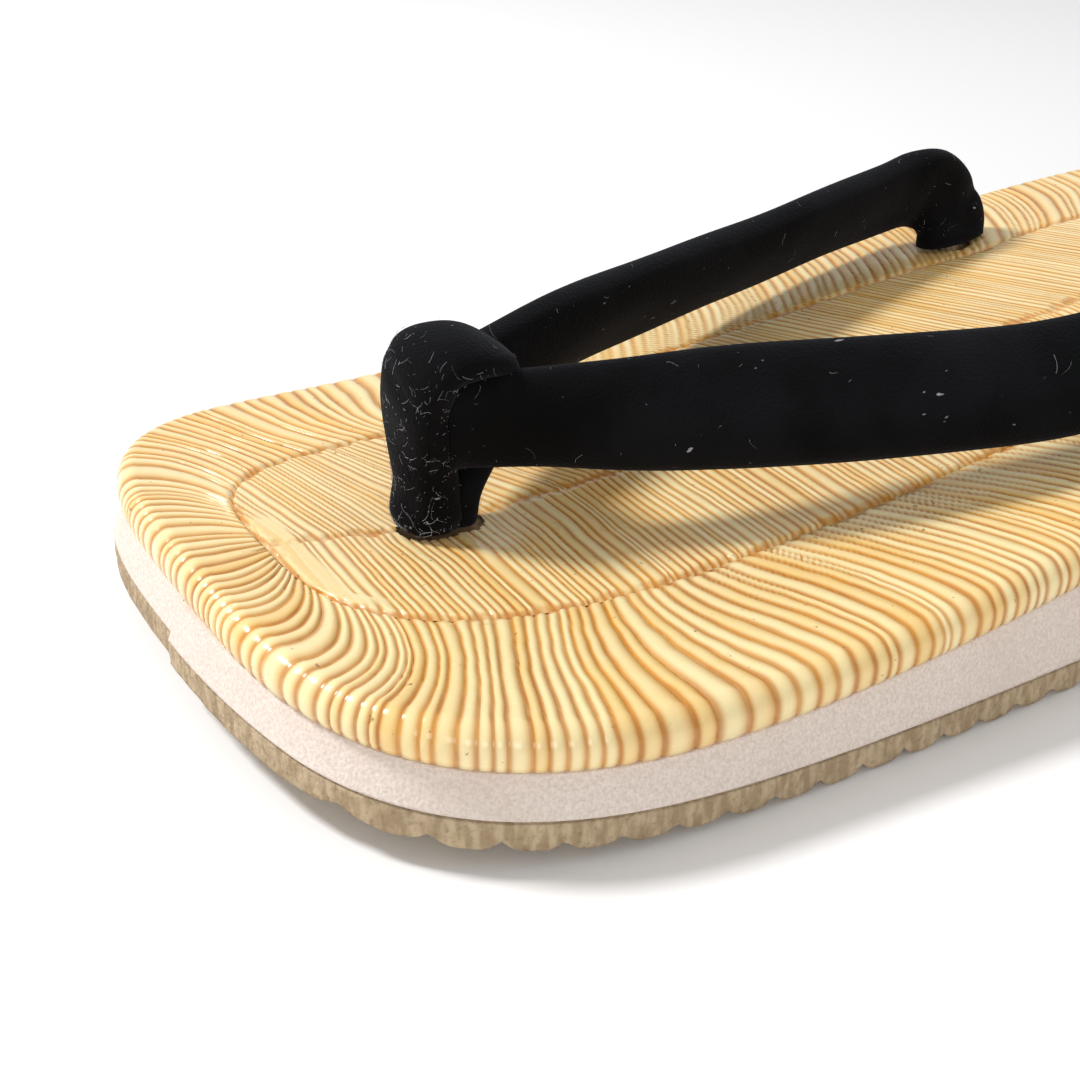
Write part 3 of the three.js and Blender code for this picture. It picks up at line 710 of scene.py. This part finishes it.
def rubber_finish():
    finish = Finish("crepe_rubber")
    grain, streak = finish.noise(1500, 4), finish.noise(900, 3, (1, 1, 0.3))
    colour = finish.mix(streak.between(0.35, 0.65), linear(164, 141, 110), linear(196, 174, 142))
    colour = finish.mix(grain.between(0.52, 0.72) * 0.45, colour, linear(126, 104, 78))
    return finish.wear(Base_Color=colour, Roughness=0.92, Normal=finish.bump(grain + streak, 0.7, 0.0005))


def velvet_finish():
    finish = Finish("black_velvet")
    pile, nap = finish.noise(2600, 2), finish.noise(70, 4)
    lint = finish.noise(800, 2, (1, 0.35, 1)).between(0.715, 0.75) * finish.noise(160).between(0.5, 0.6)
    colour = finish.mix(nap.between(0.35, 0.7), linear(7, 7, 8), linear(18, 18, 21))
    colour = finish.mix(lint, colour, linear(150, 150, 155))
    return finish.wear(
        Base_Color=colour, Roughness=1.0, Specular_IOR_Level=0.1, Sheen_Weight=0.12, Sheen_Roughness=0.45,
        Sheen_Tint=linear(150, 155, 170), Normal=finish.bump(pile, 0.6, 0.0003))


def plain_finish(name, dark, light, scale, rough):
    finish = Finish(name)
    grain = finish.noise(scale, 4)
    colour = finish.mix(grain.between(0.3, 0.7), linear(*dark), linear(*light))
    return finish.wear(Base_Color=colour, Roughness=rough, Normal=finish.bump(grain, 0.4, 0.0004))


def floor_finish():
    finish = Finish("pale_floor")
    tint = finish.noise(3, 2)
    colour = finish.mix(tint, linear(246, 246, 246), linear(249, 249, 249))
    return finish.wear(Base_Color=colour, Roughness=0.8)


def paint(piece, material):
    piece.data.materials.clear()
    piece.data.materials.append(material)


# ---- the sandal's pieces -------------------------------------------------------------------------
vinyl, foam, rubber, velvet = vinyl_finish(), foam_finish(), rubber_finish(), velvet_finish()


def place_piece(piece, material, slot, body, *nodes):
    """Finishes a piece, names its body, and lets it stand for its nodes of the frame. The slot argument is
    not used.
    """
    paint(piece, material)
    if nodes:
        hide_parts(*nodes)
    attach(piece, body)
    return piece


place_piece(make_mat(), vinyl, "mat", "sole", "top_mat")
place_piece(
    make_sole_layer(
        "midsole_foam", 900, lambda y: ground(y) + OUTSOLE_THICKNESS + SEAT_GAP, midsole_top,
        SOLE_FLARE, -MIDSOLE_TUCK, 22, 0.05, None),
    foam, "midsole", "sole", "midsole")
place_piece(
    make_sole_layer(
        "outsole_rubber", 1100, ground, lambda y: ground(y) + OUTSOLE_THICKNESS,
        SOLE_FLARE, SOLE_FLARE, 12, 0.12, tread),
    rubber, "outsole", "sole", "outsole")

soft_pieces = []
for side, word in ((1, "right"), (-1, "left")):
    strap = place_piece(
        make_strap(side, word), velvet, "velvet", "strap", f"strap_cover_{word}", f"strap_lining_{word}")
    soft_pieces.append(strap)
loop = place_piece(make_loop(), velvet, "velvet", "strap", "toe_loop_cover")
soft_pieces.append(loop)

lint_finish = plain_finish("pale_lint", (110, 110, 116), (190, 190, 198), 300, 0.9)
front = lambda place: place[1] < (TOE_HOLE_Y - 1) * MM
place_piece(make_lint("velvet_lint", 51, 600, soft_pieces), lint_finish, "velvet", "strap")
place_piece(make_lint("loop_lint", 52, 320, [loop], front), lint_finish, "velvet", "strap")

hidden_finishes = {
    "board": plain_finish("fibre_board", (150, 122, 88), (196, 168, 130), 700, 0.9),
    "washer": plain_finish("raw_leather", (112, 82, 52), (158, 122, 84), 500, 0.8),
    "filling": plain_finish("cotton_wadding", (214, 208, 196), (240, 236, 228), 900, 1.0),
    "cord": plain_finish("hemp_cord", (160, 134, 92), (210, 186, 144), 1200, 0.95),
}
place_piece(make_loop_cord(), hidden_finishes["cord"], "cord", "strap", "toe_loop_core")
for row in frame["record"]["subparts"]:
    if row["material_slot"] in hidden_finishes:
        paint(frame["nodes"][row["node"]], hidden_finishes[row["material_slot"]])


# ---- floor, light and camera ---------------------------------------------------------------------
def make_floor():
    bpy.ops.mesh.primitive_plane_add(size=6, location=(0, 0, -0.0002))
    floor = bpy.context.object
    floor.name = "studio_floor"
    paint(floor, floor_finish())


def add_lamp(name, place, target, size, power):
    data = bpy.data.lights.new(name, "AREA")
    data.shape = "DISK"
    data.size = size
    data.energy = power
    lamp = bpy.data.objects.new(name, data)
    lamp.location = place
    lamp.rotation_euler = (Vector(target) - Vector(place)).to_track_quat("-Z", "Y").to_euler()
    bpy.context.scene.collection.objects.link(lamp)


WORLD_BRIGHTNESS = 0.56
LIT_POINT = (0, -0.03, 0.02)


def make_light():
    world = bpy.data.worlds.new("studio")
    world.use_nodes = True
    background = world.node_tree.nodes["Background"]
    background.inputs["Color"].default_value = (1, 1, 1, 1)
    background.inputs["Strength"].default_value = WORLD_BRIGHTNESS
    bpy.context.scene.world = world
    bpy.context.scene.view_settings.view_transform = "Standard"
    add_lamp("key", (-0.45, -0.55, 0.75), LIT_POINT, 0.2, 7.8)
    add_lamp("front_window", (0.75, -0.45, 0.35), LIT_POINT, 0.35, 1.2)


CAMERA_PLACE = (0.15833, -0.18137, 0.1026)
CAMERA_YAW = 58.58
CAMERA_PITCH = -27.03
CAMERA_ROLL = 0.91
CAMERA_LENS = 54.17
SENSOR_WIDTH = 36


def make_camera():
    data = bpy.data.cameras.new("camera")
    data.lens = CAMERA_LENS
    data.sensor_width = SENSOR_WIDTH
    data.clip_start = 0.005
    camera = bpy.data.objects.new("camera", data)
    yaw, pitch = math.radians(CAMERA_YAW), math.radians(CAMERA_PITCH)
    ahead = Vector((-math.sin(yaw) * math.cos(pitch), math.cos(yaw) * math.cos(pitch), math.sin(pitch)))
    turn = ahead.to_track_quat("-Z", "Y").to_matrix() @ Matrix.Rotation(math.radians(CAMERA_ROLL), 3, "Z")
    camera.matrix_world = Matrix.Translation(CAMERA_PLACE) @ turn.to_4x4()
    bpy.context.scene.collection.objects.link(camera)
    bpy.context.scene.camera = camera


make_floor()
make_light()
make_camera()
